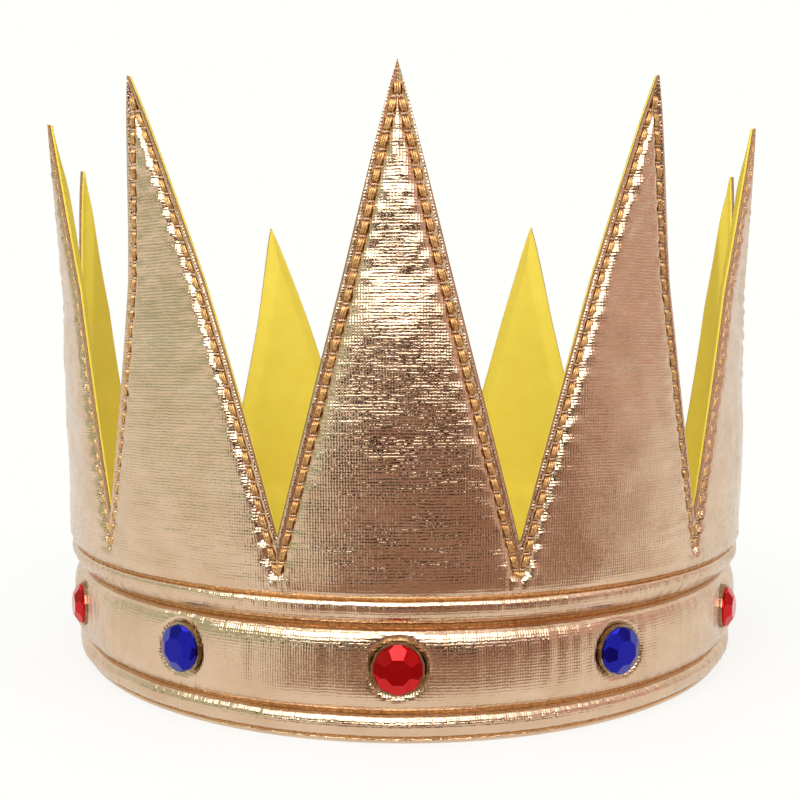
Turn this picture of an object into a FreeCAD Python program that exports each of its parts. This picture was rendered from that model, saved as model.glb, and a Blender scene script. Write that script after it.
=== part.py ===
"""A king's costume crown: a ring of padded gold foil fabric with twelve points, lined in yellow.

The crown stands on its hem, with its axis on +Z and one point at the front, towards -Y.
The origin is the middle of the circle that it stands on. Two padded rolls edge the headband,
and a jewel in a brass cup sits on the band under each point. The thread isn't modelled.
"""
import FreeCAD, Part
import math
import os

import Sketcher

SIZES = [
    # Wall, from the head outwards
    ("head_radius", 87.4, "inside of the lining at the headband, for a 55 cm head"),
    ("lining_thickness", 1.2, "yellow foam sheet"),
    ("cover_thickness", 2.4, "foil fabric bonded to its foam"),
    ("seam_thickness", 1.2, "the cover where a round seam pulls it in"),
    ("lining_setback", 0.8, "the lining stops this far above the hem"),
    # Headband, from the hem up
    ("hem_height", 1.35, "edge below the lowest seam"),
    ("low_roll_height", 5.3, "padded roll at the hem"),
    ("panel_height", 17.4, "plain part of the band, where the jewels sit"),
    ("top_roll_height", 5.9, "padded roll at the top of the band"),
    ("low_roll_puff", 2.0, "how far the lower roll stands out of its seams"),
    ("panel_puff", 3.0, "how far the panel stands out of its seams"),
    ("top_roll_puff", 2.0, "how far the upper roll stands out of its seams"),
    ("roll_shoulder", 1.5, "height in which a roll rises out of a seam"),
    ("panel_shoulder", 2.2, "height in which the panel rises out of a seam"),
    ("top_roll_lean", 2.6, "how far the wall steps out behind the upper roll"),
    ("wall_shoulder", 2.0, "height in which the wall rises out of the highest seam"),
    # Points
    ("point_count", 12, "points round the crown"),
    ("crown_height", 132.3, "hem to the tip of a point"),
    ("notch_height", 42.2, "hem to the bottom of the gap between two points"),
    ("tip_width", 0.7, "blunt end of each point"),
    ("point_flare", 1.4, "how far the points lean out below the bend"),
    ("bend_height", 93.0, "where the points bend further outwards"),
    ("tip_flare", 3.3, "how far they lean out from the bend to the tip"),
    ("joint_width", 0.8, "upright seam that closes the strip, under a rear gap"),
    ("joint_depth", 0.6, "depth of that seam where the cover is thinnest"),
    # Jewels
    ("jewel_rise", 0.7, "how far the jewels sit above the middle of the panel"),
    ("stone_radius", 5.0, "corner of the round faceted stone, flat at the back"),
    ("stone_girdle", 0.9, "straight edge of the stone"),
    ("stone_crown", 1.8, "height of the facets over that edge"),
    ("table_reach", 2.5, "middle of the flat table to the side of its octagon"),
    ("facet_reach", 5.45, "where the table's facets would meet the level of the straight edge"),
    ("lower_table_reach", 3.8, "where the lower facets would meet the level of the table"),
    ("lower_facet_reach", 5.0, "where the lower facets would meet the level of the straight edge"),
    ("cup_wall", 0.35, "brass cup round the stone"),
    ("cup_floor", 0.4, "brass under the stone"),
    ("cup_lip", 0.75, "how high the cup grips the stone's edge"),
    ("cup_gap", 0.02, "stone to cup"),
    ("seat_gap", 0.05, "cup to the padding round it"),
    ("seat_floor", 2.9, "padding left under the cup, out from the lining"),
]

doc = FreeCAD.newDocument("crown")
sheet = doc.addObject("Spreadsheet::Sheet", "Sizes")


class Length:
    """A size together with the sheet expression that it comes from."""

    def __init__(self, value, text=None):
        self.value = float(value)
        self.text = text or repr(float(value))

    def _join(self, other, sign, result):
        return Length(result, f"({self.text} {sign} {other.text})")

    def __add__(self, other):
        other = as_length(other)
        return self._join(other, "+", self.value + other.value)

    def __sub__(self, other):
        other = as_length(other)
        return self._join(other, "-", self.value - other.value)

    def __mul__(self, other):
        other = as_length(other)
        return self._join(other, "*", self.value * other.value)

    def __truediv__(self, other):
        other = as_length(other)
        return self._join(other, "/", self.value / other.value)

    def __neg__(self):
        return Length(-self.value, f"(-1 * {self.text})")

    def cosine(self):
        """Cosine of an angle in degrees."""
        return Length(math.cos(math.radians(self.value)), f"cos({self.text} * 1 deg)")

    def sine(self):
        """Sine of an angle in degrees."""
        return Length(math.sin(math.radians(self.value)), f"sin({self.text} * 1 deg)")


def as_length(number):
    return number if isinstance(number, Length) else Length(number)


class Sizes:
    """Every driving size, by name, bound to its cell."""

    def __init__(self):
        for row, (name, value, note) in enumerate(SIZES, start=1):
            sheet.set(f"A{row}", name)
            sheet.set(f"B{row}", str(value))
            sheet.set(f"C{row}", note)
            sheet.setAlias(f"B{row}", name)
            setattr(self, name, Length(value, f"Sizes.{name}"))
        doc.recompute()


size = Sizes()
count = int(size.point_count.value)
half_step = Length(180) / size.point_count
stone_sides = 16
facet_count = 8

# Heights of the band's seams, and of the middle of the panel

panel_foot = size.hem_height + size.low_roll_height
panel_top = panel_foot + size.panel_height
band_top = panel_top + size.top_roll_height
jewel_height = (panel_foot + panel_top) / 2 + size.jewel_rise

# Radii of the cover's inner face, which is also the lining's outer face

band_radius = size.head_radius + size.lining_thickness
wall_foot_radius = band_radius + size.top_roll_lean
bend_radius = wall_foot_radius + size.point_flare
tip_radius = bend_radius + size.tip_flare

# The gap between two points is a V whose sides run straight at the axis

tip_face_radius = tip_radius + size.cover_thickness
step_tangent = half_step.sine() / half_step.cosine()
v_spread = (step_tangent - size.tip_width / (tip_face_radius * 2)) / (size.crown_height - size.notch_height)

overshoot = 2.0
cutter_near = size.head_radius / 2
cutter_far = size.head_radius * 1.5
cup_radius = size.stone_radius + size.cup_gap + size.cup_wall


def band_back(height):
    """Radius of the cover's inner face at a height in the band."""
    if height.value <= panel_top.value:
        return band_radius
    return band_radius + size.top_roll_lean * ((height - panel_top) / size.top_roll_height)


def padded(foot, top, puff, shoulder):
    """Corners of a padded length of the band, from the seam at its foot up to the next one's edge."""
    thin = size.seam_thickness
    low = foot + shoulder
    high = top - shoulder
    return [
        (band_back(foot) + thin, foot),
        (band_back(low) + thin + puff, low),
        (band_back(high) + thin + puff, high),
    ]


class Profile:
    """A closed sketch whose corners and arcs are all bound to the sheet."""

    def __init__(self, body, name, turn=None, forward=None, level=None):
        """Draw upright, facing a turn about the axis, or flat at a level."""
        self.sketch = body.newObject("Sketcher::SketchObject", name)
        role = "XZ_Plane" if level is None else "XY_Plane"
        plane = next(f for f in body.Origin.OriginFeatures if f.Role == role)
        self.sketch.AttachmentSupport = [(plane, "")]
        self.sketch.MapMode = "FlatFace"
        if forward is not None:
            self._stand_off(turn, forward)
        if level is not None:
            self.sketch.AttachmentOffset = FreeCAD.Placement(
                FreeCAD.Vector(0, 0, level.value), FreeCAD.Rotation()
            )
            self.sketch.setExpression("AttachmentOffset.Base.z", level.text)

    def _stand_off(self, turn, forward):
        """Turn the sketch about the crown's axis and move it out to face that way."""
        side = forward * turn.sine()
        front = forward * turn.cosine()
        self.sketch.AttachmentOffset = FreeCAD.Placement(
            FreeCAD.Vector(side.value, 0, front.value),
            FreeCAD.Rotation(FreeCAD.Vector(0, 1, 0), turn.value),
        )
        self.sketch.setExpression("AttachmentOffset.Base.x", side.text)
        self.sketch.setExpression("AttachmentOffset.Base.z", front.text)
        self.sketch.setExpression("AttachmentOffset.Rotation.Angle", turn.text)

    def draw(self, corners):
        """Join corners (across, up) in order by straight lines."""
        where = [FreeCAD.Vector(across.value, up.value, 0) for across, up in corners]
        for number, corner in enumerate(where):
            following = where[(number + 1) % len(where)]
            self.sketch.addGeometry(Part.LineSegment(corner, following), False)
        for number, (across, up) in enumerate(corners):
            following = (number + 1) % len(corners)
            self.sketch.addConstraint(Sketcher.Constraint("Coincident", number, 2, following, 1))
            self._place((number, 1), across, "DistanceX", -2, f"across_{number}")
            self._place((number, 1), up, "DistanceY", -1, f"up_{number}")
        return self.sketch

    def polygon(self, height, radius, sides):
        """A regular polygon straight above the origin, with a side at its foot."""
        middle = FreeCAD.Vector(0, height.value, 0)
        corners = []
        for number in range(sides):
            angle = math.radians((number + 0.5) * 360 / sides - 90)
            corners.append(middle + FreeCAD.Vector(math.cos(angle), math.sin(angle), 0) * radius.value)
        for number in range(sides):
            line = Part.LineSegment(corners[number], corners[(number + 1) % sides])
            self.sketch.addGeometry(line, False)
        upright = FreeCAD.Vector(0, 0, 1)
        ring = self.sketch.addGeometry(Part.Circle(middle, upright, radius.value), True)
        self.sketch.addConstraint(Sketcher.Constraint("PointOnObject", ring, 3, -2))
        self._place((ring, 3), height, "DistanceY", -1, "up")
        self._bind(("Radius", ring), radius, "reach")
        for number in range(sides):
            following = (number + 1) % sides
            self.sketch.addConstraint(Sketcher.Constraint("Coincident", number, 2, following, 1))
            self.sketch.addConstraint(Sketcher.Constraint("PointOnObject", number, 1, ring))
            if number:
                self.sketch.addConstraint(Sketcher.Constraint("Equal", 0, number))
        self.sketch.addConstraint(Sketcher.Constraint("Horizontal", sides - 1))
        return self.sketch

    def _place(self, point, where, kind, axis, name):
        if abs(where.value) < 1e-9:
            self.sketch.addConstraint(Sketcher.Constraint("PointOnObject", *point, axis))
        else:
            self._bind((kind, -1, 1, *point), where, name)

    def _bind(self, arguments, length, name):
        index = self.sketch.addConstraint(Sketcher.Constraint(*arguments, length.value))
        self.sketch.renameConstraint(index, name)
        self.sketch.setExpression(f"Constraints.{name}", length.text)


def new_body(label):
    body = doc.addObject("PartDesign::Body", label)
    body.Label = label
    return body


def revolve(body, name, corners):
    """Turn a profile all the way round the crown's axis."""
    sketch = Profile(body, f"{name}_profile").draw(corners)
    feature = body.newObject("PartDesign::Revolution", name)
    feature.Profile = sketch
    feature.ReferenceAxis = (sketch, ["V_Axis"])
    feature.Angle = 360
    sketch.Visibility = False
    return feature


def repeat_round(body, name, features, times=None):
    """Repeat features round the body's axis, once for each point of the crown unless told."""
    axis = next(f for f in body.Origin.OriginFeatures if f.Role == "Z_Axis")
    pattern = body.newObject("PartDesign::PolarPattern", name)
    pattern.Originals = features
    pattern.Axis = (axis, [""])
    pattern.Angle = 360
    pattern.Occurrences = times or count
    if times is None:
        pattern.setExpression("Occurrences", "Sizes.point_count")
    body.Tip = pattern
    return pattern


def gap_outline(distance):
    """The V between two points, seen from outside at a distance from the axis."""
    top = size.crown_height + overshoot
    side = distance * v_spread * (top - size.notch_height)
    return [(Length(0), size.notch_height), (side, top), (-side, top)]


def cut_points(body):
    """Cut the gaps that leave the points standing, with sides that point at the axis."""
    name = f"{body.Label}_gap"
    gap = body.newObject("PartDesign::SubtractiveLoft", name)
    gap.Profile = Profile(body, f"{name}_near", half_step, cutter_near).draw(gap_outline(cutter_near))
    gap.Sections = [Profile(body, f"{name}_far", half_step, cutter_far).draw(gap_outline(cutter_far))]
    gap.Ruled = True
    repeat_round(body, f"{name}s", [gap])


def wall_face(offset, rising):
    """Corners of the wall above the band, `offset` out from the cover's inner face."""
    top = (tip_radius + offset, size.crown_height)
    bend = (bend_radius + offset, size.bend_height)
    return [bend, top] if rising else [top, bend]


def gold_cover():
    """Padded foil cover: one strip whose band seams and jewel seats are pressed in."""
    body = new_body("gold_cover")
    thin = size.seam_thickness
    outer = [
        (band_radius, Length(0)),
        (band_radius + thin, Length(0)),
        *padded(size.hem_height, panel_foot, size.low_roll_puff, size.roll_shoulder),
        *padded(panel_foot, panel_top, size.panel_puff, size.panel_shoulder),
        *padded(panel_top, band_top, size.top_roll_puff, size.roll_shoulder),
        (wall_foot_radius + thin, band_top),
        (wall_foot_radius + size.cover_thickness, band_top + size.wall_shoulder),
    ]
    inner = [(wall_foot_radius, band_top), (band_radius, panel_top)]
    corners = [*outer, *wall_face(size.cover_thickness, True), *wall_face(Length(0), False), *inner]
    revolve(body, "cover_ring", corners)
    cut_points(body)
    cut_jewel_seats(body)
    cut_joint(body)
    return body


def cut_jewel_seats(body):
    """Press a seat for each jewel's cup into the panel."""
    seat_plane = band_radius + size.seat_floor
    beyond = seat_plane + size.cover_thickness * 2
    outline = Profile(body, "jewel_seat_outline", Length(0), beyond)
    seat = body.newObject("PartDesign::Pocket", "jewel_seat")
    seat.Profile = outline.polygon(jewel_height, cup_radius + size.seat_gap, stone_sides)
    seat.setExpression("Length", (beyond - seat_plane).text)
    repeat_round(body, "jewel_seats", [seat])


def cut_joint(body):
    """Upright seam under the rear gap, where the two ends of the strip meet."""
    depth = size.cover_thickness - size.joint_depth
    low = -as_length(overshoot)
    high = size.notch_height + overshoot
    outside = wall_foot_radius + size.cover_thickness * 3
    band_floor = band_radius + size.seam_thickness - size.joint_depth
    corners = [
        (band_floor, low),
        (outside, low),
        (outside, high),
        (wall_foot_radius + depth, high),
        (wall_foot_radius + depth, band_top + size.wall_shoulder),
        (band_floor + size.top_roll_lean, band_top),
        (band_floor, panel_top),
    ]
    turn = Length(90) - half_step
    sketch = Profile(body, "joint_profile", turn, Length(0)).draw(corners)
    groove = body.newObject("PartDesign::Groove", "joint_seam")
    groove.Profile = sketch
    groove.ReferenceAxis = (sketch, ["V_Axis"])
    groove.Midplane = True
    groove.setExpression("Angle", (size.joint_width / band_radius * (180 / math.pi)).text)
    sketch.Visibility = False


def yellow_lining():
    """Foam lining bonded to the back of the cover and cut with it."""
    body = new_body("yellow_lining")
    thickness = size.lining_thickness
    outer = [
        (size.head_radius, size.lining_setback),
        (band_radius, size.lining_setback),
        (band_radius, panel_top),
        (wall_foot_radius, band_top),
        *wall_face(Length(0), True),
    ]
    inner = [
        *wall_face(-thickness, False),
        (wall_foot_radius - thickness, band_top),
        (size.head_radius, panel_top),
    ]
    revolve(body, "lining_ring", outer + inner)
    cut_points(body)
    return body


def prism(body, name, radius, low, high):
    """Add a prism with the stone's sides on the body's own axis, between two levels."""
    feature = body.newObject("PartDesign::Pad", name)
    feature.Profile = Profile(body, f"{name}_outline", level=low).polygon(Length(0), radius, stone_sides)
    feature.setExpression("Length", (high - low).text)
    return feature


def facets(body, name, turn, foot_reach, top_reach):
    """Cut one row of the stone's facets, each a slice through its upper edge."""
    top = size.stone_girdle + size.stone_crown
    beyond = foot_reach + overshoot
    corners = [
        (foot_reach, size.stone_girdle),
        (beyond, size.stone_girdle),
        (beyond, top + overshoot),
        (top_reach, top + overshoot),
        (top_reach, top),
    ]
    cut = body.newObject("PartDesign::Pocket", name)
    cut.Profile = Profile(body, f"{name}_outline", turn, Length(0)).draw(corners)
    cut.Midplane = True
    cut.setExpression("Length", (size.stone_radius * 4).text)
    repeat_round(body, f"{name}_row", [cut], facet_count)


def stone_pattern():
    """Faceted stone with its flat back at the origin."""
    body = new_body("stone_pattern")
    top = size.stone_girdle + size.stone_crown
    prism(body, "stone_blank", size.stone_radius, Length(0), top)
    facets(body, "table_facets", Length(0), size.facet_reach, size.table_reach)
    half_facet = Length(180 / facet_count)
    facets(body, "lower_facets", half_facet, size.lower_facet_reach, size.lower_table_reach)
    return body


def cup_pattern():
    """Brass cup with its underside at the origin."""
    body = new_body("cup_pattern")
    rim = size.cup_floor + size.cup_lip
    prism(body, "cup_blank", cup_radius, Length(0), rim)
    inner = size.stone_radius + size.cup_gap
    hollow = body.newObject("PartDesign::Pocket", "cup_hollow")
    hollow.Profile = Profile(body, "cup_hollow_outline", level=rim).polygon(Length(0), inner, stone_sides)
    hollow.setExpression("Length", size.cup_lip.text)
    return body


def mount_round(label, pattern, number, distance):
    """Copy a jewel's piece to a point's place on the band, facing outwards."""
    turn = number * 360 / count
    piece = doc.addObject("Part::Compound", label)
    piece.Label = label
    piece.Links = [pattern]
    facing = FreeCAD.Rotation(FreeCAD.Vector(0, 0, 1), turn)
    outwards = FreeCAD.Rotation(FreeCAD.Vector(1, 0, 0), 90)
    place = facing.multVec(FreeCAD.Vector(0, -distance.value, jewel_height.value))
    piece.Placement = FreeCAD.Placement(place, facing.multiply(outwards))
    side = Length(turn).sine() * distance
    back = -(Length(turn).cosine() * distance)
    piece.setExpression("Placement.Base.x", side.text)
    piece.setExpression("Placement.Base.y", back.text)
    piece.setExpression("Placement.Base.z", jewel_height.text)
    return piece


def jewels():
    """A stone in its cup under each point, red and blue in turn."""
    stone = stone_pattern()
    cup = cup_pattern()
    seat_plane = band_radius + size.seat_floor
    stone_plane = seat_plane + size.cup_floor
    pieces = []
    for number in range(count):
        colour = "blue" if number % 2 else "red"
        place = number // 2 + 1
        pieces.append(mount_round(f"gem_{colour}_{place}", stone, number, stone_plane))
        pieces.append(mount_round(f"gem_cup_{colour}_{place}", cup, number, seat_plane))
    return pieces


def check(nodes):
    """Stop if anything in the document failed, or a piece isn't a sound solid."""
    for item in doc.Objects:
        if "Invalid" in item.State or "Error" in item.State:
            raise RuntimeError(f"{item.Label} failed: {item.State}")
    for node in nodes:
        shape = node.Shape
        if shape.isNull() or not shape.isValid() or not shape.Solids:
            raise RuntimeError(f"{node.Label} has no sound shape")


nodes = [gold_cover(), yellow_lining(), *jewels()]
doc.recompute()
check(nodes)

os.makedirs("parts", exist_ok=True)
for node in nodes:
    node.Shape.exportStep(f"parts/{node.Label}.step")
    print(node.Label, len(node.Shape.Solids), round(node.Shape.Volume, 2))
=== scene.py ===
"""The looks of a king's costume crown: padded gold foil fabric, yellow lining, stitching, jewels.

The crown's lengths are in millimetres until a mesh is made, and the stage's are in metres.
Angles run from the front (-Y) towards +X. A place on the wall is an angle, a height and a depth
out from the cover's inner face.
"""
import math

import bmesh
import bpy
import numpy as np
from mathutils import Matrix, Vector


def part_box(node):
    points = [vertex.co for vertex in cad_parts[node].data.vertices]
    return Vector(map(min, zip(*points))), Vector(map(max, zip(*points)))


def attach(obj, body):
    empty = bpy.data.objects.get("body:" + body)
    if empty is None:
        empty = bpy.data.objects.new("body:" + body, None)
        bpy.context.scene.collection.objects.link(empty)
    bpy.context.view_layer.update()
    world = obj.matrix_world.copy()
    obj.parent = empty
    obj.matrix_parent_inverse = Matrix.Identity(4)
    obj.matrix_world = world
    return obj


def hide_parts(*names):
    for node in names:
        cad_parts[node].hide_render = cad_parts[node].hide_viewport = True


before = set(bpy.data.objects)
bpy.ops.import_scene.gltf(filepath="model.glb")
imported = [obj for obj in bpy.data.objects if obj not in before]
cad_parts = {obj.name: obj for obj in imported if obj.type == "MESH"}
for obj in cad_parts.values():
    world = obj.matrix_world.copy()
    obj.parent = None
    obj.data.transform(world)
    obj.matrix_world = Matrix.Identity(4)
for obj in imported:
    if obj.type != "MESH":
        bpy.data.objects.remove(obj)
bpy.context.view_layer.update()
MM = 0.001


def box_mm(node):
    """Lowest and highest corners of a node, in millimetres."""
    low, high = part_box(node)
    return np.array(low) / MM, np.array(high) / MM


# Sizes of the solid, read from the frame or repeated from it

POINTS = 12
STEP = 2 * math.pi / POINTS
SEAM_THICKNESS = 1.2
COVER_THICKNESS = 2.4
LINING_THICKNESS = 1.2
SEAM_HEIGHTS = [1.35, 6.65, 24.05, 29.95]
BAND_BACK = 88.6
WALL_FOOT_BACK = 91.2
BEND_HEIGHT = 93.0
BEND_BACK = 92.6
NOTCH_HEIGHT = 42.2
BLUNT_TIP = 0.0036
WALL_RADIUS = WALL_FOOT_BACK + COVER_THICKNESS
CROWN_HEIGHT = box_mm("gold_cover")[1][2]
TIP_BACK = -box_mm("gold_cover")[0][1] - COVER_THICKNESS
LINING_FOOT = box_mm("yellow_lining")[0][2]
JEWEL_HEIGHT = (box_mm("gem_red_1")[0][2] + box_mm("gem_red_1")[1][2]) / 2
CUP_RADIUS = (box_mm("gem_cup_red_1")[1][2] - box_mm("gem_cup_red_1")[0][2]) / 2

# How far each point's tip has bent outwards and sideways, from the front point round towards +X

TIP_LEANS = [
    (0, 0), (4.1, -0.2), (0, 0), (0.9, 4.3), (4, 2), (10, 4),
    (5, 1), (12, 0.8), (3, 3), (-5, 10), (2.1, 8), (6.9, -0.4),
]

# How much lower the gap after each point was cut

NOTCH_DROPS = [1.9, 0, 0, 0, 0, 0, 0, 0, 0, 0, 0, 0.7]

# The edge stitching, whose line closes in on the edge towards the tip

STITCH_PITCH = 3.28
STITCH_INSET = 2.05
STITCH_CLOSES_IN = 0.6
TIP_SHARPENING = 0.0028


def notch_height(gap):
    """Height of the bottom of a gap."""
    return NOTCH_HEIGHT - NOTCH_DROPS[gap % POINTS]


def gap_spread(gap):
    """Tangent of the half angle by which a gap opens for each millimetre up."""
    return (math.tan(STEP / 2) - BLUNT_TIP) / (CROWN_HEIGHT - notch_height(gap))


def gap_lean(gap):
    """How far a gap's sides lean from upright."""
    return math.atan(gap_spread(gap) * WALL_RADIUS)


def gap_beside(point, side):
    """Number of the gap on one side of a point."""
    return point if side > 0 else point - 1


PLAIN_LEAN = gap_lean(1)


def wall_back(height):
    """Radius of the cover's inner face at a height."""
    heights = [SEAM_HEIGHTS[2], SEAM_HEIGHTS[3], BEND_HEIGHT, CROWN_HEIGHT]
    return np.interp(height, heights, [BAND_BACK, WALL_FOOT_BACK, BEND_BACK, TIP_BACK])


def smooth_step(value, low, high):
    share = np.clip((value - low) / (high - low), 0, 1)
    return share * share * (3 - 2 * share)


def place(angle, height, depth, point=None):
    """Position in space, in millimetres, with the point's own bend where one is given."""
    angle, height, depth = np.broadcast_arrays(np.asarray(angle, float), height, depth)
    radius = wall_back(height) + depth
    spot = np.stack([radius * np.sin(angle), -radius * np.cos(angle), height], axis=-1)
    if point is None:
        return spot
    out, side = TIP_LEANS[point]
    reach = CROWN_HEIGHT - NOTCH_HEIGHT
    share = np.clip((height - NOTCH_HEIGHT) / reach, 0, None)[..., None] ** 2
    middle = point * STEP
    outward = np.array([math.sin(middle), -math.cos(middle), 0.0])
    sideways = np.array([math.cos(middle), math.sin(middle), 0.0])
    bend = out * outward + side * sideways
    drop = np.array([0.0, 0.0, -(out**2 + side**2) / (2 * reach) * 1.3])
    return spot + share * (bend + drop)


class Ripples:
    """Smooth random waves in space, about `length` millimetres long."""

    def __init__(self, seed, length, count=16):
        draw = np.random.default_rng(seed)
        direction = draw.normal(size=(count, 3))
        direction /= np.linalg.norm(direction, axis=1, keepdims=True)
        self.waves = direction * draw.uniform(0.6, 1.5, (count, 1)) * 2 * math.pi / length
        self.phases = draw.uniform(0, 2 * math.pi, count)

    def __call__(self, spots):
        total = np.sin(spots @ self.waves.T + self.phases).sum(axis=-1)
        return total / math.sqrt(len(self.phases))


class RingWaves:
    """Random waves round the crown that close on themselves, from a short to a long pitch."""

    def __init__(self, seed, short, long, count=24):
        draw = np.random.default_rng(seed)
        around = 2 * math.pi * WALL_RADIUS
        self.turns = draw.integers(int(around / long), int(around / short), count)
        self.phases = draw.uniform(0, 2 * math.pi, count)

    def __call__(self, angle):
        angle = np.asarray(angle)[..., None]
        return np.sin(angle * self.turns + self.phases).sum(axis=-1) / math.sqrt(len(self.phases))


class Patchwork:
    """Grids of faces that are gathered into one mesh, with flat cloth coordinates in millimetres."""

    def __init__(self):
        self.spots = []
        self.faces = []
        self.flats = []
        self.slots = []
        self.total = 0

    def grid(self, spots, flat, closed=False, slot=0):
        """Add a grid of spots; a closed one joins its last column to its first."""
        rows, columns = spots.shape[:2]
        index = np.arange(rows * columns).reshape(rows, columns) + self.total
        if closed:
            index = np.concatenate([index, index[:, :1]], axis=1)
        faces = np.stack([index[:-1, :-1], index[:-1, 1:], index[1:, 1:], index[1:, :-1]], axis=-1)
        flats = np.stack([flat[:-1, :-1], flat[:-1, 1:], flat[1:, 1:], flat[1:, :-1]], axis=-2)
        self.spots.append(spots.reshape(-1, 3))
        self.faces.append(faces.reshape(-1, 4))
        self.flats.append(flats.reshape(-1, 2))
        self.slots.append(np.full(faces.shape[0] * faces.shape[1], slot, dtype=np.int32))
        self.total += rows * columns

    def make(self, name, weld=0.002):
        """The finished object, in metres, with touching edges joined."""
        mesh = bpy.data.meshes.new(name)
        spots = np.concatenate(self.spots) * MM
        faces = np.concatenate(self.faces)
        flats = np.concatenate(self.flats)
        mesh.vertices.add(len(spots))
        mesh.vertices.foreach_set("co", spots.ravel())
        mesh.loops.add(faces.size)
        mesh.loops.foreach_set("vertex_index", faces.ravel().astype(np.int32))
        mesh.polygons.add(len(faces))
        mesh.polygons.foreach_set("loop_start", np.arange(0, faces.size, 4, dtype=np.int32))
        mesh.polygons.foreach_set("material_index", np.concatenate(self.slots))
        mesh.update(calc_edges=True)
        layer = mesh.uv_layers.new(name="cloth")
        layer.data.foreach_set("uv", (flats / 100).ravel())
        mesh.validate()
        built = bmesh.new()
        built.from_mesh(mesh)
        bmesh.ops.remove_doubles(built, verts=built.verts, dist=weld * MM)
        bmesh.ops.dissolve_degenerate(built, edges=built.edges, dist=1e-7)
        built.to_mesh(mesh)
        built.free()
        mesh.shade_smooth()
        piece = bpy.data.objects.new(name, mesh)
        bpy.context.collection.objects.link(piece)
        return piece


# The gap between two points, and the sewn edge that follows it


def half_angle(height, gap):
    """Angle from the middle of a point to the gap beside it, at a height."""
    opening = np.maximum(np.asarray(height, float) - notch_height(gap), 0) * gap_spread(gap)
    sharpen = TIP_SHARPENING * smooth_step(height, CROWN_HEIGHT - 8, CROWN_HEIGHT)
    return STEP / 2 - np.arctan(opening) - sharpen


def side_distance(angle, height, point, side):
    """How far a spot lies from the cut edge on one side of its point, in millimetres."""
    gap = gap_beside(point, side)
    lean = gap_lean(gap)
    across = WALL_RADIUS * np.tan(STEP / 2 - side * (angle - point * STEP))
    return across * math.cos(lean) - (height - notch_height(gap)) * math.sin(lean)


def edge_distance(angle, height, point):
    """How far a spot lies from the nearest cut edge of its point."""
    left = side_distance(angle, height, point, -1)
    right = side_distance(angle, height, point, 1)
    return np.minimum(left, right)


def stitch_inset(height):
    """Distance of the stitch line from the edge."""
    return STITCH_INSET - STITCH_CLOSES_IN * smooth_step(height, 95, 128)


def lining_face(distance):
    """Depth of the lining's inner face, which is pinched outwards along a cut edge."""
    return -LINING_THICKNESS + 2.0 * (1 - smooth_step(distance, 0, 5))


def layer_face(distance):
    """Depth of the joint between lining and cover."""
    return lining_face(distance) + 0.5 + 0.7 * smooth_step(distance, 0, 4)


def lookup(knots, blur):
    """A smooth curve through rough knots of (distance, value)."""
    spacing = 0.05
    reach = np.arange(-5, 60, spacing)
    rough = np.interp(reach, [k[0] for k in knots], [k[1] for k in knots])
    half = int(3 * blur / spacing)
    kernel = np.exp(-0.5 * (np.arange(-half, half + 1) * spacing / blur) ** 2)
    padded = np.pad(rough, half, mode="edge")
    curve = np.convolve(padded, kernel / kernel.sum(), mode="valid")
    return lambda distance: np.interp(distance, reach, curve)


# Depth of the cover's outer face at distances in from a cut edge: rim, stitch line, padding

EDGE_PROFILE = lookup(
    [(-1, 1.4), (0, 1.5), (0.35, 1.95), (0.9, 2.05), (1.35, 1.6), (2.05, 1.2), (2.7, 1.5), (3.3, 2.2),
     (4.4, 2.45), (8.0, 2.5), (14, 2.5), (40, 2.5)],
    0.20,
)

soft_waves = Ripples(11, 30)
small_waves = Ripples(12, 9)
crumple_waves = Ripples(15, 4.5)
pucker_waves = RingWaves(13, 1.3, 4.0)
fold_waves = RingWaves(14, 3.0, 9.0)


def point_surface(angle, height, point):
    """Depth of the cover's outer face above the headband."""
    distance = edge_distance(angle, height, point)
    eased = distance + STITCH_INSET - stitch_inset(height)
    under = np.maximum(NOTCH_HEIGHT - STITCH_INSET / math.sin(PLAIN_LEAN) - height, 0)
    depth = EDGE_PROFILE(eased + 1.2 * under)
    spots = place(angle, height, 0.0)
    inside = smooth_step(distance, 2.4, 8)
    depth = depth + inside * (0.32 * soft_waves(spots) + 0.08 * small_waves(spots))
    along = height / math.cos(PLAIN_LEAN)
    tuck = np.sin(2 * math.pi * along / STITCH_PITCH + 1.2 * small_waves(spots))
    beside = np.exp(-(((distance - 3.7) / 1.6) ** 2))
    rim = np.exp(-(((distance - 0.9) / 0.5) ** 2))
    depth = depth + beside * (0.13 * tuck + 0.13 * crumple_waves(spots * 1.6)) + 0.06 * rim * tuck
    depth = depth + 0.05 * inside * crumple_waves(spots * np.array([1.0, 1.0, 2.5]))
    rise = np.clip((height - SEAM_HEIGHTS[3]) / 3.2, 0, 1)
    shoulder = np.sqrt(1 - (1 - rise) ** 2)
    pucker = pucker_waves(angle) * np.exp(-np.maximum(height - SEAM_HEIGHTS[3], 0) / 2.6)
    return SEAM_THICKNESS + (depth - SEAM_THICKNESS) * shoulder + 0.14 * pucker * shoulder


ROLL_PUFFS = [2.1, 3.1, 2.1]
ROLL_POWERS = [2.0, 3.6, 2.0]


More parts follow.
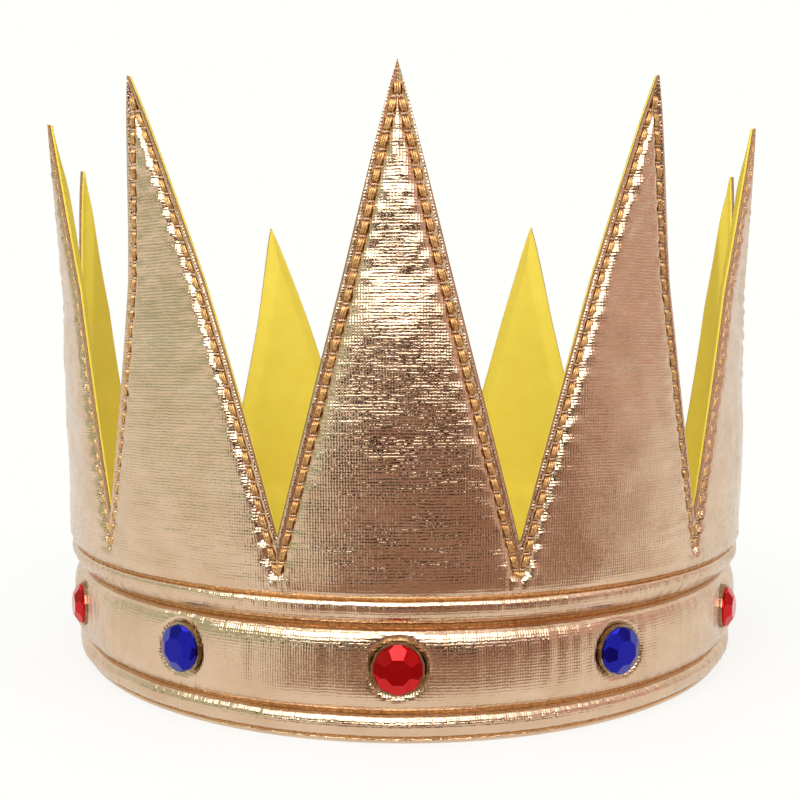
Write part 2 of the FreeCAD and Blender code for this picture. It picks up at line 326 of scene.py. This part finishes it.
def band_surface(angle, height):
    """Depth of the cover's outer face in the headband: rolls, seams, panel and jewel dimples."""
    depth = np.full(np.broadcast(angle, height).shape, SEAM_THICKNESS)
    spots = place(angle, height, 0.0)
    groove = 0.18
    for foot, top, puff, power in zip(SEAM_HEIGHTS, SEAM_HEIGHTS[1:], ROLL_PUFFS, ROLL_POWERS):
        share = (height - foot - groove) / (top - foot - 2 * groove)
        inside = (share > 0) & (share < 1)
        shape = np.sqrt(np.clip(1 - np.abs(2 * share - 1) ** power, 0, 1))
        edge = np.minimum(height - foot, top - height)
        pucker = pucker_waves(angle + 0.3 * foot) * np.exp(-edge / 1.8)
        fold = fold_waves(angle + 0.7 * foot)
        swell = puff * (1 + 0.07 * soft_waves(spots * 1.4)) + 0.15 * pucker + 0.06 * fold
        depth = np.where(inside, SEAM_THICKNESS + shape * swell, depth)
    hem = height < SEAM_HEIGHTS[0] - groove
    share = np.clip(height / (SEAM_HEIGHTS[0] - groove), 0, 1)
    bulge = 0.35 * np.sqrt(np.clip(1 - (2 * share - 1) ** 2, 0, 1))
    depth = np.where(hem, SEAM_THICKNESS + bulge - 0.25 * (1 - share) ** 3, depth)
    return press_jewels(angle, height, depth)


def press_jewels(angle, height, depth):
    """Sink the panel under each cup and draw small folds towards it."""
    nearest = np.round(angle / STEP) * STEP
    across = (angle - nearest) * (BAND_BACK + 4)
    up = height - JEWEL_HEIGHT
    away = np.hypot(across, up)
    bearing = np.arctan2(up, across)
    folds = 0.10 * np.sin(9 * bearing + 2.2 * np.sin(3 * bearing + nearest * 7))
    folds = folds * np.exp(-np.maximum(away - CUP_RADIUS, 0) / 2.6)
    folds = folds * smooth_step(away, CUP_RADIUS, CUP_RADIUS + 1.2)
    panel = smooth_step(height, SEAM_HEIGHTS[1] + 0.6, SEAM_HEIGHTS[1] + 2)
    panel = panel * smooth_step(-height, -SEAM_HEIGHTS[2] + 0.6, -SEAM_HEIGHTS[2] + 2)
    sunk = 2.75
    rise = smooth_step(away, CUP_RADIUS + 0.12, CUP_RADIUS + 1.3)
    pressed = sunk + (depth - sunk) * rise
    pull = 0.30 * np.exp(-(((away - CUP_RADIUS) / 3.2) ** 2)) * (away > CUP_RADIUS)
    near = away < CUP_RADIUS + 12
    return np.where(near, np.minimum(depth, pressed) + panel * (folds - pull * rise), depth)


def spaced(low, high, count, bunch=0.0):
    """Heights from low to high, bunched towards both ends where asked."""
    share = np.linspace(0, 1, count)
    eased = 0.5 - 0.5 * np.cos(math.pi * share)
    return low + (high - low) * ((1 - bunch) * share + bunch * eased)


def band_piece():
    """The headband up to its highest seam, as one closed ring."""
    columns = POINTS * 110
    angle = np.arange(columns) * 2 * math.pi / columns
    heights = [spaced(0, SEAM_HEIGHTS[0] - 0.15, 5)]
    counts = (14, 27, 15)
    for foot, top, count in zip(SEAM_HEIGHTS, SEAM_HEIGHTS[1:], counts):
        heights.append(spaced(foot + 0.15, top - 0.15, count, 0.85))
    heights.append(np.array([SEAM_HEIGHTS[3] + 0.1]))
    height = np.concatenate(heights)[:, None]
    depth = band_surface(angle[None, :], height)
    outer = place(angle[None, :], height, depth)
    back_height = np.array([SEAM_HEIGHTS[3] + 0.1, 27.0, SEAM_HEIGHTS[2], 12.0, 0.4])[:, None]
    back = place(angle[None, :], back_height, 0.03)
    inner_hem = place(angle[None, :], 0.0, 0.45)
    ring = np.concatenate([outer, back, inner_hem, outer[:1]])
    around = np.append(angle, 2 * math.pi) * WALL_RADIUS
    up = np.concatenate([height[:, 0], back_height[:, 0], [0.0, 0.0]])
    flat = np.stack(np.meshgrid(around, up), axis=-1)
    patch = Patchwork()
    patch.grid(ring, flat, closed=True)
    return patch.make("gold_band")


EDGE_OFFSETS = np.array([0, 0.3, 0.6, 0.9, 1.2, 1.5, 1.8, 2.1, 2.4, 2.75, 3.15, 3.6, 4.2, 5.0])
FULL_OFFSETS_WIDTH = 7.5


def point_rows(below, above, point):
    """Heights of the rows along a point's left and right edges, from the highest seam to the tip."""
    sides = []
    for gap in (point - 1, point):
        low = spaced(SEAM_HEIGHTS[3], notch_height(gap), below, 0.3)
        high = spaced(notch_height(gap), CROWN_HEIGHT, above)[1:]
        sides.append(np.concatenate([low, high])[:, None])
    return sides


def across_point(rows, share, point):
    """Angles and heights at shares of a point's width, from its left edge to its right."""
    left = -half_angle(rows[0], point - 1)
    right = half_angle(rows[1], point)
    return left + (right - left) * share + point * STEP, rows[0] + (rows[1] - rows[0]) * share


def face_shares(rows, middle_columns, point):
    """Shares of a point's width, close together along its edges."""
    width = (half_angle(rows[0], point - 1) + half_angle(rows[1], point)) * WALL_RADIUS
    edge = EDGE_OFFSETS[None, :] * np.minimum(1, width / 2 / FULL_OFFSETS_WIDTH)
    inner = edge[:, -1:]
    middle = inner + (width - 2 * inner) * np.linspace(0, 1, middle_columns + 2)[None, 1:-1]
    return np.concatenate([edge, middle, width - edge[:, ::-1]], axis=1) / width


def flat_cloth(angle, height):
    return np.stack(np.broadcast_arrays(angle * WALL_RADIUS, height), axis=-1)


def points_piece():
    """The wall above the band with its points: outer face, rolled edges and back."""
    below, above = 26, 124
    patch = Patchwork()
    for point in range(POINTS):
        rows = point_rows(below, above, point)
        angle, height = across_point(rows, face_shares(rows, 19, point), point)
        depth = point_surface(angle, height, point)
        front = place(angle, height, depth, point)
        flat = flat_cloth(angle, height)
        cut = slice(below - 1, None)
        patch.grid(front[:below], flat[:below])
        patch.grid(front[cut, 1:-1], flat[cut, 1:-1])
        patch.grid(front[cut, :2], flat[cut, :2], slot=1)
        patch.grid(front[cut, -2:], flat[cut, -2:], slot=1)
        back_angle, back_height = across_point(rows, np.linspace(0, 1, 13)[None, :], point)
        back_depth = cloth_depth(layer_face, back_angle, back_height, point) + 0.02
        back = place(back_angle, back_height, back_depth, point)
        patch.grid(back[:, ::-1], flat_cloth(back_angle, back_height)[:, ::-1])
        for edge in (0, -1):
            outer, inner = front[cut, edge], back[cut, edge]
            strip = np.stack([outer, (outer + inner) / 2, inner], axis=1)
            strip_flat = np.stack([flat[cut, edge]] * 3, axis=1)
            strip_flat[:, :, 0] += np.array([0, 0.5, 1.0])
            turn = 1 if edge else -1
            patch.grid(strip[:, ::turn], strip_flat[:, ::turn], slot=1)
        patch.grid(*tip_cap(front, back, flat), slot=1)
    return patch.make("gold_points")


def cloth_depth(face, angle, height, point):
    """Depth of an inner face, pinched along the edges above the gaps and plain below them."""
    distance = edge_distance(angle, height, point)
    under = np.maximum(NOTCH_HEIGHT - height, 0)
    return face(np.maximum(distance, 0) + 1.0 * under)


def tip_cap(front, back, flat):
    """Close the blunt end of a point."""
    middle = front.shape[1] // 2
    row = np.stack([front[-1, 0], front[-1, middle], front[-1, -1]])
    under = np.stack([back[-1, 0], back[-1, back.shape[1] // 2], back[-1, -1]])
    corner = flat[-1, [0, middle, -1]]
    return np.stack([row, under]), np.stack([corner, corner])


def lining_piece():
    """The yellow foam lining, from just above the hem to the tips."""
    patch = Patchwork()
    band = spaced(LINING_FOOT, SEAM_HEIGHTS[3], 14)[:-1, None]
    share = np.linspace(0, 1, 25)[None, :]
    first = len(band) + 11
    for point in range(POINTS):
        rows = [np.concatenate([band, side]) for side in point_rows(12, 60, point)]
        angle, height = across_point(rows, share, point)
        inner_depth = cloth_depth(lining_face, angle, height, point)
        outer_depth = cloth_depth(layer_face, angle, height, point)
        spots = place(angle, height, 0.0)
        wave = 0.08 * soft_waves(spots * 1.3) * smooth_step(outer_depth - inner_depth, 0.5, 1.2)
        inner = place(angle, height, inner_depth + wave, point)
        outer = place(angle, height, outer_depth, point)
        flat = flat_cloth(angle, height)
        patch.grid(inner[:, ::-1], flat[:, ::-1])
        patch.grid(outer, flat)
        patch.grid(np.stack([inner[0], outer[0]]), np.stack([flat[0], flat[0]]))
        patch.grid(np.stack([outer[-1], inner[-1]]), np.stack([flat[-1], flat[-1]]))
        for edge in (0, -1):
            strip = np.stack([outer[first:, edge], inner[first:, edge]], axis=1)
            strip_flat = np.stack([flat[first:, edge], flat[first:, edge] + LINING_THICKNESS], axis=1)
            turn = 1 if edge else -1
            patch.grid(strip[:, ::turn], strip_flat[:, ::turn])
    return patch.make("yellow_lining_foam")


def tubes(name, centres, normals, radii, sides=5):
    """Short threads: each row of centres is one, with its own radius at every centre."""
    along = np.gradient(centres, axis=1)
    along /= np.linalg.norm(along, axis=-1, keepdims=True)
    across = np.cross(along, normals)
    across /= np.linalg.norm(across, axis=-1, keepdims=True)
    upward = np.cross(across, along)
    patch = Patchwork()
    turn = np.arange(sides) * 2 * math.pi / sides
    ring = across[:, :, None] * np.cos(turn)[None, None, :, None]
    ring = ring + upward[:, :, None] * np.sin(turn)[None, None, :, None]
    spots = centres[:, :, None] + ring * radii[:, :, None, None]
    around = np.append(turn, 2 * math.pi)
    for thread in spots:
        length = np.arange(thread.shape[0])
        flat = np.stack(np.meshgrid(around, length), axis=-1)
        patch.grid(thread, flat, closed=True)
    return patch.make(name, weld=0.0005)


def stitch_line(point, side, distance, height):
    """Angle of the line that runs `distance` inside an edge of a point, at each height."""
    gap = gap_beside(point, side)
    lean = gap_lean(gap)
    across = (distance + (height - notch_height(gap)) * math.sin(lean)) / math.cos(lean)
    return point * STEP + side * (STEP / 2 - np.arctan(across / WALL_RADIUS))


STITCH_STRANDS = (-0.40, 0.0, 0.40)
STITCH_DEPTH = 1.30
STITCH_TOP = 6.6
PEAK_STITCH_DROP = 5.0


def stitch_rows(point, side):
    """Heights of the ends of every stitch along one edge of a point."""
    low = notch_height(gap_beside(point, side)) - STITCH_INSET / math.sin(PLAIN_LEAN) - 0.4
    high = CROWN_HEIGHT - STITCH_TOP
    count = round((high - low) / math.cos(PLAIN_LEAN) / STITCH_PITCH)
    return np.linspace(low, high, count + 1)


def outward(angle):
    return np.stack([np.sin(angle), -np.cos(angle), 0 * angle], axis=-1)


def edge_stitching_piece():
    """Flat metallic thread in separate stitches along both edges of every point, with one at its peak."""
    draw = np.random.default_rng(21)
    share = np.linspace(-1, 1, 7)
    arch = 0.55 * (1 - share**4)
    radius = 0.25 * np.sqrt(np.clip(1.04 - share**6, 0.05, 1))
    centres, normals, radii = [], [], []
    for point in range(POINTS):
        stitches = []
        for side in (-1, 1):
            rows = stitch_rows(point, side)
            for low, high in zip(rows, rows[1:]):
                jitter = draw.normal(0, 0.04, 3)
                rise = high - low
                start = low + 0.08 * rise + jitter[0]
                height = np.linspace(start, high - 0.08 * rise + jitter[1], len(share))
                for strand in STITCH_STRANDS:
                    wander = strand * (1 - 0.2 * share**2) + 0.3 * jitter[2] + 0.08 * share
                    angle = stitch_line(point, side, stitch_inset(height) + wander, height)
                    stitches.append((angle, height, abs(strand)))
        for strand in STITCH_STRANDS:
            height = CROWN_HEIGHT - PEAK_STITCH_DROP + 1.2 * share
            stitches.append((point * STEP + strand / WALL_RADIUS + 0 * share, height, abs(strand)))
        for angle, height, off in stitches:
            centres.append(place(angle, height, STITCH_DEPTH + arch - 0.12 * off, point))
            normals.append(outward(angle))
            radii.append(radius)
    return tubes("edge_stitching_thread", np.array(centres), np.array(normals), np.array(radii))


def foil_tucks_piece():
    """Small ridges of foil that stand up between one stitch and the next."""
    share = np.linspace(-1, 1, 5)
    radius = 0.24 * np.sqrt(np.clip(1.05 - share**4, 0.05, 1))
    centres, normals, radii = [], [], []
    for point in range(POINTS):
        for side in (-1, 1):
            for height in stitch_rows(point, side)[1:]:
                heights = np.full(len(share), height)
                distance = stitch_inset(heights) + 0.85 * share
                angle = stitch_line(point, side, distance, heights)
                depth = STITCH_DEPTH + 0.10 + 0.32 * (1 - share**2)
                centres.append(place(angle, heights, depth, point))
                normals.append(outward(angle))
                radii.append(radius)
    return tubes("foil_tucks", np.array(centres), np.array(normals), np.array(radii))


def seam_piece(number):
    """The stitching that lies end to end in one of the band's seams, as one ring of thread."""
    height = SEAM_HEIGHTS[number - 1]
    stitches, steps, sides = 196, 8, 6
    angle = np.arange(stitches * steps) * 2 * math.pi / (stitches * steps)
    waist = np.abs(np.sin(angle * stitches / 2)) ** 0.5
    turn = np.arange(sides + 1) * 2 * math.pi / sides
    reach = (0.30 + 0.12 * waist)[None, :]
    rise = height + reach * np.cos(turn)[:, None]
    depth = SEAM_THICKNESS + 0.12 + 0.14 * waist[None, :] + reach * np.sin(turn)[:, None] * 0.8
    spots = place(angle[None, :], rise, depth)
    around = np.append(angle, 2 * math.pi) * WALL_RADIUS
    flat = np.stack(np.meshgrid(around, turn), axis=-1)
    patch = Patchwork()
    patch.grid(spots, flat, closed=True)
    return patch.make(f"band_seam_thread_{number}")


# Materials


class Shader:
    """A material's nodes, joined by short calls."""

    def __init__(self, name):
        self.material = bpy.data.materials.new(name)
        self.material.use_nodes = True
        self.tree = self.material.node_tree
        self.surface = self.tree.nodes["Principled BSDF"]

    def node(self, kind, **settings):
        made = self.tree.nodes.new(kind)
        for name, value in settings.items():
            setattr(made, name, value)
        return made

    def join(self, output, socket):
        self.tree.links.new(output, socket)

    def cloth(self, across, up):
        """The flat cloth coordinates, in units of `across` by `up` millimetres."""
        uv = self.node("ShaderNodeUVMap", uv_map="cloth")
        scale = self.node("ShaderNodeVectorMath", operation="MULTIPLY")
        scale.inputs[1].default_value = (100 / across, 100 / up, 1)
        self.join(uv.outputs[0], scale.inputs[0])
        return scale.outputs[0]

    def height(self):
        """Height on the flat cloth, in millimetres."""
        split = self.node("ShaderNodeSeparateXYZ")
        self.join(self.cloth(1, 1), split.inputs[0])
        return split.outputs["Y"]

    def solid(self, size):
        """Object coordinates, in units of `size` millimetres."""
        source = self.node("ShaderNodeTexCoord")
        scale = self.node("ShaderNodeVectorMath", operation="MULTIPLY")
        scale.inputs[1].default_value = (1000 / size,) * 3
        self.join(source.outputs["Object"], scale.inputs[0])
        return scale.outputs[0]

    def noise(self, vector, detail=3.0, roughness=0.5):
        noise = self.node("ShaderNodeTexNoise")
        noise.inputs["Scale"].default_value = 1.0
        noise.inputs["Detail"].default_value = detail
        noise.inputs["Roughness"].default_value = roughness
        self.join(vector, noise.inputs["Vector"])
        return noise.outputs["Fac"]

    def waves(self, direction, pitch):
        """Slightly uneven ribs across or up the cloth."""
        waves = self.node("ShaderNodeTexWave", bands_direction=direction)
        waves.inputs["Scale"].default_value = math.tau / 20
        waves.inputs["Distortion"].default_value = 1.5
        waves.inputs["Detail"].default_value = 2.0
        waves.inputs["Detail Scale"].default_value = 0.5
        self.join(self.cloth(pitch, pitch), waves.inputs["Vector"])
        return waves.outputs["Fac"]

    def remap(self, value, low, high, to_low, to_high):
        remap = self.node("ShaderNodeMapRange")
        limits = {"From Min": low, "From Max": high, "To Min": to_low, "To Max": to_high}
        for socket, number in limits.items():
            remap.inputs[socket].default_value = number
        self.join(value, remap.inputs["Value"])
        return remap.outputs[0]

    def maths(self, operation, first, second):
        maths = self.node("ShaderNodeMath", operation=operation)
        for socket, value in zip(maths.inputs, (first, second)):
            if isinstance(value, (int, float)):
                socket.default_value = value
            else:
                self.join(value, socket)
        return maths.outputs[0]

    def mix(self, share, first, second):
        mix = self.node("ShaderNodeMix", data_type="RGBA")
        self.join(share, mix.inputs["Factor"])
        mix.inputs["A"].default_value = (*first, 1)
        mix.inputs["B"].default_value = (*second, 1)
        return mix.outputs["Result"]

    def bump(self, height, distance, strength=1.0, below=None):
        bump = self.node("ShaderNodeBump")
        bump.inputs["Distance"].default_value = distance * MM
        bump.inputs["Strength"].default_value = strength
        self.join(height, bump.inputs["Height"])
        if below is not None:
            self.join(below, bump.inputs["Normal"])
        return bump.outputs[0]

    def set(self, **values):
        for name, value in values.items():
            socket = self.surface.inputs[name.replace("_", " ").title().replace("Ior", "IOR")]
            if isinstance(value, bpy.types.NodeSocket):
                self.join(value, socket)
            elif isinstance(value, tuple):
                socket.default_value = (*value, 1)
            else:
                socket.default_value = value


def linear(red, green, blue):
    """A colour as it looks on screen, 0 to 255, as the shader's own values."""
    return tuple(((value / 255 + 0.055) / 1.055) ** 2.4 for value in (red, green, blue))


def foil_material():
    """Champagne gold foil on a fine knit, with small creases across it."""
    shader = Shader("gold_foil")
    patches = shader.noise(shader.cloth(12, 7), 4)
    colour = shader.mix(
        shader.remap(patches, 0.3, 0.7, 0, 1), linear(208, 176, 144), linear(222, 192, 162)
    )
    ribs = shader.waves("X", 0.55)
    courses = shader.waves("Y", 0.62)
    high_up = shader.remap(shader.height(), 45, 85, 0, 1)
    level_creases = shader.maths("MULTIPLY", shader.noise(shader.cloth(3.4, 0.7), 3, 0.6), high_up)
    low_down = shader.maths("SUBTRACT", 1.0, high_up)
    upright_creases = shader.maths("MULTIPLY", shader.noise(shader.cloth(0.8, 3.0), 3, 0.6), low_down)
    creases = shader.maths("ADD", level_creases, upright_creases)
    grain = shader.noise(shader.cloth(0.7, 0.35), 2, 0.6)
    normal = shader.bump(creases, 0.10, 1.0)
    normal = shader.bump(ribs, 0.030, 1.0, normal)
    normal = shader.bump(courses, 0.022, 1.0, normal)
    normal = shader.bump(grain, 0.06, 1.0, normal)
    roughness = shader.remap(patches, 0.3, 0.7, 0.10, 0.15)
    shader.set(base_color=colour, metallic=1.0, roughness=roughness, normal=normal)
    return shader.material


def cut_edge_material():
    """The raw edge of the foil fabric, where its brown knit shows."""
    shader = Shader("cut_edge_brown")
    fibres = shader.noise(shader.solid(0.4), 3)
    colour = shader.mix(shader.remap(fibres, 0.3, 0.7, 0, 1), linear(120, 84, 54), linear(170, 128, 88))
    shader.set(base_color=colour, roughness=0.55, metallic=0.4)
    return shader.material


def lining_material():
    """Soft brushed yellow foam."""
    shader = Shader("yellow_foam")
    blotch = shader.noise(shader.cloth(9, 9), 3)
    colour = shader.mix(shader.remap(blotch, 0.3, 0.7, 0, 1), linear(228, 203, 68), linear(232, 209, 78))
    nap = shader.noise(shader.cloth(0.5, 0.5), 3, 0.7)
    normal = shader.bump(nap, 0.12, 0.5)
    shader.set(base_color=colour, roughness=0.9, normal=normal)
    return shader.material


def thread_material(name, light, dark, roughness, metallic):
    """Twisted shiny thread."""
    shader = Shader(name)
    streaks = shader.noise(shader.solid(0.5), 3)
    colour = shader.mix(shader.remap(streaks, 0.35, 0.65, 0, 1), dark, light)
    normal = shader.bump(shader.noise(shader.solid(0.22), 2), 0.06, 0.6)
    shader.set(base_color=colour, roughness=roughness, metallic=metallic, normal=normal)
    return shader.material


def gem_material(name, colour):
    """Clear tinted acrylic with a mirror foil behind it."""
    shader = Shader(name)
    shader.set(base_color=colour, roughness=0.05, metallic=0.9, coat_weight=0.2, coat_roughness=0.02)
    return shader.material


def brass_material():
    """Thin plated brass of the cups."""
    shader = Shader("cup_brass")
    wear = shader.noise(shader.solid(1.5), 4)
    colour = shader.mix(shader.remap(wear, 0.35, 0.7, 0, 1), linear(190, 176, 150), linear(150, 120, 80))
    roughness = shader.remap(wear, 0.3, 0.7, 0.18, 0.35)
    shader.set(base_color=colour, metallic=1.0, roughness=roughness)
    return shader.material


def dress(piece, material, nodes):
    """Give a made piece its material and its place in the frame."""
    piece.data.materials.append(material)
    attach(piece, "root")
    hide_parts(*nodes)


def assign(node, material):
    """Put a material on a part that is shown as it was built."""
    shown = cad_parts[node]
    for slot in shown.material_slots:
        slot.material = material


foil = foil_material()
cut_edge = cut_edge_material()
band = band_piece()
points = points_piece()
for cover in (band, points):
    dress(cover, foil, ["gold_cover"])
points.data.materials.append(cut_edge)
lining = lining_piece()
dress(lining, lining_material(), ["yellow_lining"])
tucks = foil_tucks_piece()
dress(tucks, foil, ["gold_cover"])
edge_thread = thread_material("edge_thread_gold", linear(232, 190, 130), linear(172, 122, 68), 0.32, 0.7)
dress(edge_stitching_piece(), edge_thread, ["gold_cover"])
seam_thread = thread_material("seam_thread_copper", linear(206, 150, 86), linear(160, 104, 50), 0.4, 0.5)
for seam_number in range(1, 5):
    dress(seam_piece(seam_number), seam_thread, ["gold_cover"])

red = gem_material("gem_red", linear(198, 4, 10))
blue = gem_material("gem_blue", linear(6, 6, 150))
brass = brass_material()
for number in range(1, POINTS // 2 + 1):
    assign(f"gem_red_{number}", red)
    assign(f"gem_blue_{number}", blue)
    assign(f"gem_cup_red_{number}", brass)
    assign(f"gem_cup_blue_{number}", brass)


# Stage, light and camera


def light_path(tree, rays):
    """The share of a ray that is of one of the named kinds."""
    path = tree.nodes.new("ShaderNodeLightPath")
    seen = path.outputs[rays[0]]
    for ray in rays[1:]:
        join = tree.nodes.new("ShaderNodeMath")
        join.operation = "MAXIMUM"
        tree.links.new(seen, join.inputs[0])
        tree.links.new(path.outputs[ray], join.inputs[1])
        seen = join.outputs[0]
    return seen


SEEN = ("Is Camera Ray", "Is Glossy Ray", "Is Transmission Ray")
BACKGROUND = (1.0, 1.0, 0.97, 1)


def white_when_seen(material):
    """Show the floor at the background's white, with the crown's shadow kept near it."""
    tree = material.node_tree
    surface = tree.nodes["Principled BSDF"]
    glow = tree.nodes.new("ShaderNodeEmission")
    glow.inputs["Color"].default_value = BACKGROUND
    source = tree.nodes.new("ShaderNodeTexCoord")
    length = tree.nodes.new("ShaderNodeVectorMath")
    length.operation = "LENGTH"
    tree.links.new(source.outputs["Object"], length.inputs[0])
    fade = tree.nodes.new("ShaderNodeMapRange")
    fade.inputs["From Min"].default_value = 0.10
    fade.inputs["From Max"].default_value = 0.22
    fade.inputs["To Min"].default_value = 0.80
    fade.inputs["To Max"].default_value = 1.0
    tree.links.new(length.outputs["Value"], fade.inputs["Value"])
    share = tree.nodes.new("ShaderNodeMath")
    share.operation = "MULTIPLY"
    tree.links.new(light_path(tree, SEEN), share.inputs[0])
    tree.links.new(fade.outputs[0], share.inputs[1])
    mix = tree.nodes.new("ShaderNodeMixShader")
    tree.links.new(share.outputs[0], mix.inputs[0])
    tree.links.new(surface.outputs[0], mix.inputs[1])
    tree.links.new(glow.outputs[0], mix.inputs[2])
    tree.links.new(mix.outputs[0], tree.nodes["Material Output"].inputs[0])


def add_plate(name, corners, material):
    """A flat four-cornered piece of the stage."""
    mesh = bpy.data.meshes.new(name)
    mesh.from_pydata(corners, [], [(0, 1, 2, 3)])
    mesh.materials.append(material)
    plate = bpy.data.objects.new(name, mesh)
    bpy.context.collection.objects.link(plate)
    return plate


def add_floor():
    reach = 3.0
    shader = Shader("floor_white")
    shader.set(base_color=(0.9, 0.9, 0.9), roughness=0.9)
    white_when_seen(shader.material)
    corners = [(-reach, -reach, 0), (reach, -reach, 0), (reach, reach, 0), (-reach, reach, 0)]
    add_plate("floor", corners, shader.material)


def add_mirrored(name, corners, shade):
    """A plain card that is only seen mirrored in the foil and the jewels."""
    shader = Shader(name)
    shader.set(base_color=shade, roughness=0.9)
    card = add_plate(name, corners, shader.material)
    card.visible_camera = False
    card.visible_diffuse = False
    card.visible_shadow = False


def add_card(name, left, right, low, high, shade):
    """An upright card."""
    add_mirrored(name, [(*left, low), (*right, low), (*right, high), (*left, high)], shade)


def add_mat():
    """A brown mat in front of the crown, just over the floor."""
    edges = [(-0.10, -0.44), (0.36, -0.44), (0.36, -0.11), (-0.05, -0.11)]
    corners = [(across, back, 0.001) for across, back in edges]
    add_mirrored("brown_mat", corners, (0.28, 0.17, 0.13))


def add_softbox(name, spot, size, power, height=None):
    """A soft light aimed at the middle of the crown, square unless its height is given."""
    data = bpy.data.lights.new(name, "AREA")
    data.energy = power
    data.shape = "RECTANGLE"
    data.size = size
    data.size_y = height or size
    light = bpy.data.objects.new(name, data)
    bpy.context.collection.objects.link(light)
    light.location = spot
    aim = Vector((0, 0, CROWN_HEIGHT / 2 * MM)) - Vector(spot)
    light.rotation_euler = aim.to_track_quat("-Z", "Y").to_euler()


def add_world():
    world = bpy.data.worlds.new("studio")
    bpy.context.scene.world = world
    world.use_nodes = True
    tree = world.node_tree
    soft = tree.nodes["Background"]
    soft.inputs["Color"].default_value = (0.9, 0.9, 0.9, 1)
    soft.inputs["Strength"].default_value = 0.38
    white = tree.nodes.new("ShaderNodeBackground")
    white.inputs["Color"].default_value = BACKGROUND
    mix = tree.nodes.new("ShaderNodeMixShader")
    tree.links.new(light_path(tree, SEEN), mix.inputs[0])
    tree.links.new(soft.outputs[0], mix.inputs[1])
    tree.links.new(white.outputs[0], mix.inputs[2])
    tree.links.new(mix.outputs[0], tree.nodes["World Output"].inputs[0])


# The camera, in millimetres, radians and pixels

CAMERA_DISTANCE = 261.1
CAMERA_HEIGHT = 75.6
CAMERA_TURN = 0.0129
CAMERA_PITCH = 0.0394
CAMERA_YAW = 0.0047
FOCAL_PIXELS = 870.8
FRAME_PIXELS = 800
SENSOR = 36.0


def add_camera():
    data = bpy.data.cameras.new("camera")
    data.sensor_width = SENSOR
    data.lens = FOCAL_PIXELS / FRAME_PIXELS * SENSOR
    data.clip_start = 0.01
    camera = bpy.data.objects.new("camera", data)
    bpy.context.collection.objects.link(camera)
    across = CAMERA_DISTANCE * math.sin(CAMERA_TURN)
    back = -CAMERA_DISTANCE * math.cos(CAMERA_TURN)
    camera.location = Vector((across, back, CAMERA_HEIGHT)) * MM
    camera.rotation_euler = (math.pi / 2 - CAMERA_PITCH, 0, CAMERA_TURN + CAMERA_YAW)
    bpy.context.scene.camera = camera


bpy.context.scene.view_settings.view_transform = "Standard"
add_floor()
add_world()
add_softbox("key_light", (-0.7, -0.9, 1.0), 0.5, 5)
add_softbox("fill_light", (0.9, -0.6, 0.5), 0.5, 2)
add_softbox("top_light", (0.0, 0.2, 1.4), 1.2, 7)
add_softbox("front_light", (0.0, -0.5, 0.30), 0.5, 1.7, 0.3)
add_card("front_card", (-0.30, -0.45), (0.30, -0.45), 0.0, 0.150, (0.010, 0.003, 0.002))
add_card("left_card", (-0.9, 0.1), (-0.5, -0.75), 0.0, 0.5, (0.70, 0.85, 0.66))
add_card("right_card", (0.5, -0.75), (0.9, 0.1), 0.0, 0.5, (0.86, 0.58, 0.54))
add_mat()
add_camera()
